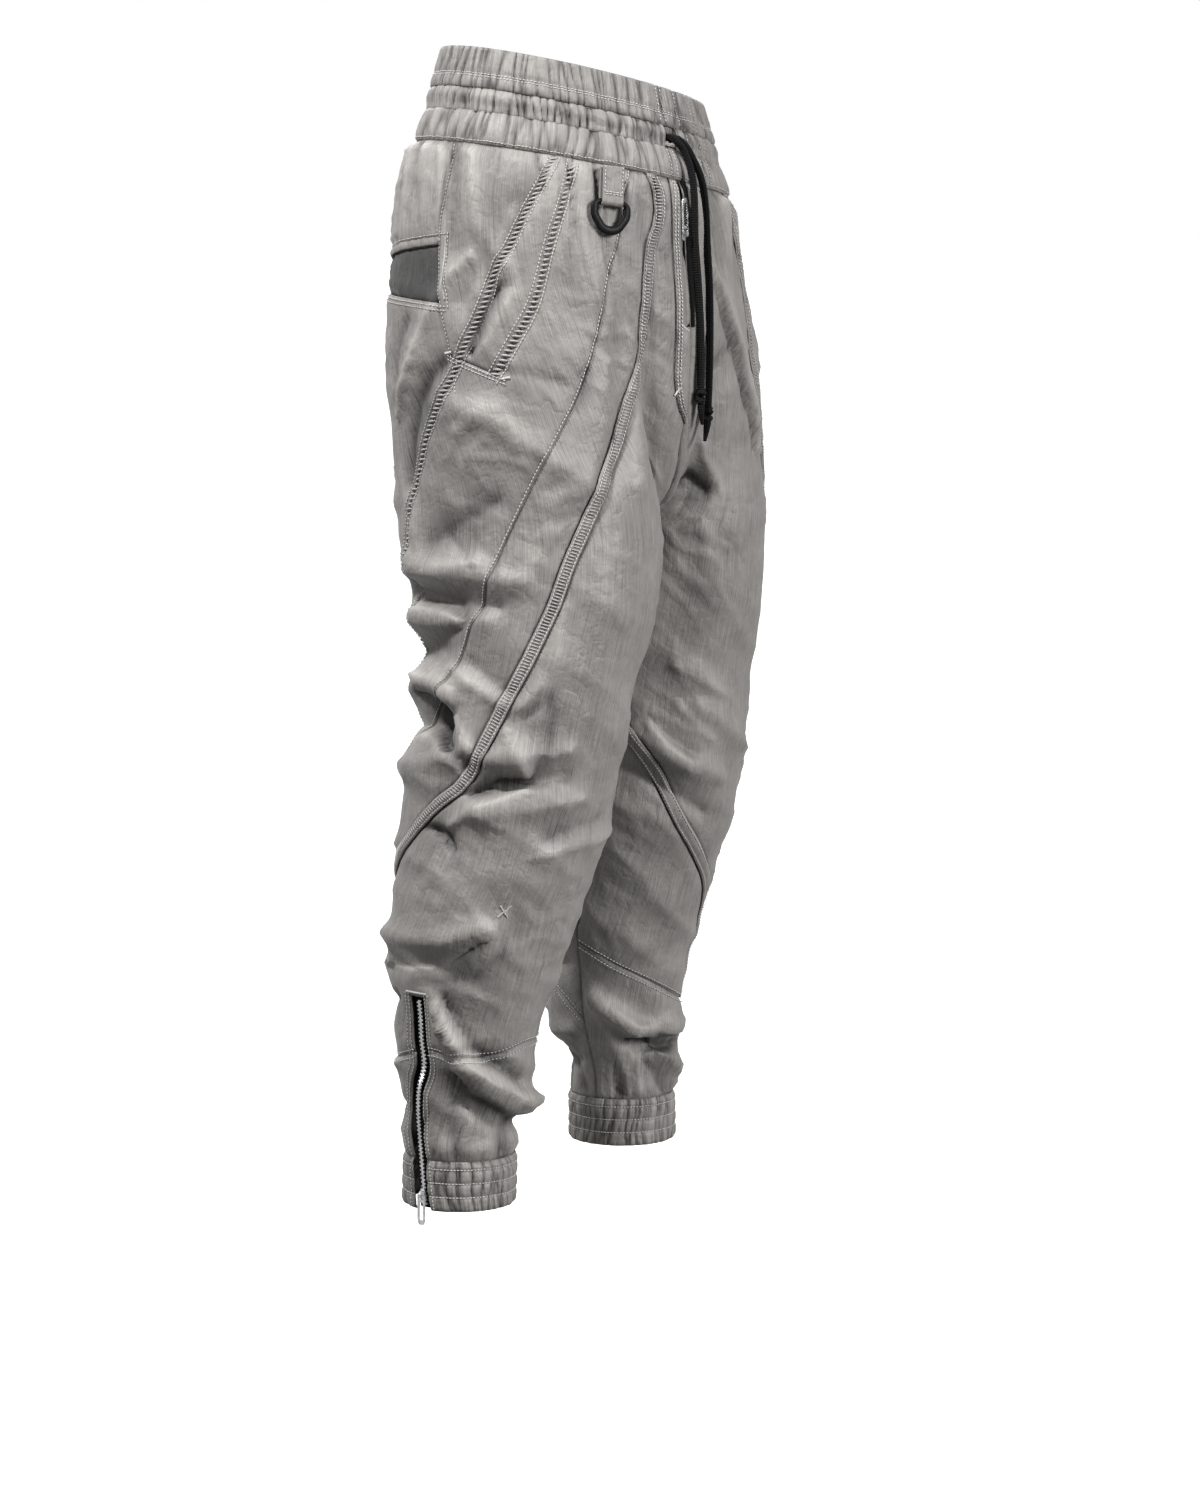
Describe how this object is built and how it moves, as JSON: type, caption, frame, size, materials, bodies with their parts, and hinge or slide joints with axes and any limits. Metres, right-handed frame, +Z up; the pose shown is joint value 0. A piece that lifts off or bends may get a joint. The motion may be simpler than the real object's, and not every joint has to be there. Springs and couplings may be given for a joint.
{
  "type": "cargo trousers",
  "caption": "Loose tapered cargo trousers in worn form: tiered elastic waist with drawcord, spiral lapped seams, welt pockets, zipped elastic ankle cuffs.",
  "frame": {"origin": "centre of the waist opening, level with the top edge of the waistband", "axes": "+Z up the wearer, -Y to the front, +X to the wearer's left"},
  "size_m": [0.4413, 0.2835, 0.9955],
  "materials": {
    "grey_cotton": "crisp woven cotton with fine vertical slubs and a soft satin sheen",
    "pocket_cloth": "matt dark plain weave",
    "black_webbing": "matt black woven cord and tape",
    "zip_metal": "plain silver metal",
    "ring_lacquer": "glossy black lacquer"
  },
  "bodies": {
    "trousers": {"drawcord_left": "black_webbing", "drawcord_right": "black_webbing", "fly_facing": "grey_cotton", "fly_zip": "zip_metal", "fly_zip_slider": "zip_metal", "left_ankle_zip_slider": "zip_metal", "left_ankle_zip_tape": "black_webbing", "left_ankle_zip_teeth": "zip_metal", "left_back_panel": "grey_cotton", "left_calf_back_panel": "grey_cotton", "left_calf_front_panel": "grey_cotton", "left_cuff": "grey_cotton", "left_front_panel": "grey_cotton", "left_lapped_band": "grey_cotton", "left_pocket_strip": "grey_cotton", "left_shin_band": "grey_cotton", "left_shin_panel": "grey_cotton", "left_side_back_panel": "grey_cotton", "left_side_front_panel": "grey_cotton", "left_spiral_panel": "grey_cotton", "left_welt_patch": "pocket_cloth", "left_welt_piping": "grey_cotton", "right_ankle_zip_slider": "zip_metal", "right_ankle_zip_tape": "black_webbing", "right_ankle_zip_teeth": "zip_metal", "right_back_panel": "grey_cotton", "right_calf_back_panel": "grey_cotton", "right_calf_front_panel": "grey_cotton", "right_cuff": "grey_cotton", "right_front_panel": "grey_cotton", "right_lapped_band": "grey_cotton", "right_pocket_strip": "grey_cotton", "right_side_back_panel": "grey_cotton", "right_side_front_panel": "grey_cotton", "right_spiral_panel": "grey_cotton", "right_welt_patch": "pocket_cloth", "right_welt_piping": "grey_cotton", "ring_tab": "grey_cotton", "waist_cord_tier": "grey_cotton", "waist_low_tier": "grey_cotton", "waist_top_tier": "grey_cotton"},
    "fly_pull": {"fly_zip_pull": "zip_metal"},
    "right_ankle_pull": {"right_ankle_zip_pull": "zip_metal"},
    "left_ankle_pull": {"left_ankle_zip_pull": "zip_metal"},
    "hip_ring": {"ring": "ring_lacquer"}
  },
  "joints": [
    {"name": "fly_pull_swing", "type": "hinge", "parent": "trousers", "child": "fly_pull", "pos_m": [-0.03739, -0.13771, -0.13145], "axis": [0.9888, -0.1453, -0.034], "range_deg": [0, 150]},
    {"name": "right_ankle_pull_swing", "type": "hinge", "parent": "trousers", "child": "right_ankle_pull", "pos_m": [-0.20094, 0.02711, -0.94395], "axis": [0.1635, 0.9865, -0.0041], "range_deg": [0, 150]},
    {"name": "left_ankle_pull_swing", "type": "hinge", "parent": "trousers", "child": "left_ankle_pull", "pos_m": [0.20094, 0.03711, -0.94395], "axis": [0.1635, -0.9865, 0.0041], "range_deg": [0, 150]},
    {"name": "hip_ring_swing", "type": "hinge", "parent": "trousers", "child": "hip_ring", "pos_m": [-0.11611, -0.11017, -0.1048], "axis": [-0.8486, 0.5161, 0.1159], "range_deg": [0, 140]}
  ]
}
